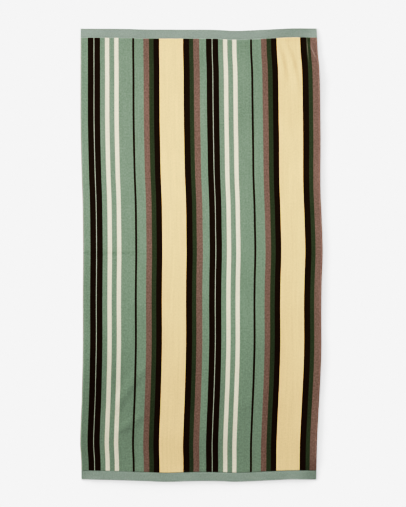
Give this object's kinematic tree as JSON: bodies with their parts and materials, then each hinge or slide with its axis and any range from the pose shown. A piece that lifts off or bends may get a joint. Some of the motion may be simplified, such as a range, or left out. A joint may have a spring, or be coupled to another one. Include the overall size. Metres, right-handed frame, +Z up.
{
  "type": "beach towel",
  "caption": "Flat rectangular velour terry beach towel with lengthwise stripes and flat-woven hems, for drying off or lying on.",
  "frame": {"origin": "on the surface that the towel lies on, under the middle of its outline", "axes": "+X across the cloth to its right side, +Y along the cloth to its head end, +Z up, out of the face that shows"},
  "size_m": [0.914, 1.7096, 0.0106],
  "materials": {
    "terry": "sheared cotton terry, matt, in warp stripes of sage, cream, near-black, mauve-brown, dark green and straw"
  },
  "bodies": {
    "root": {"towel": "terry"}
  },
  "joints": []
}
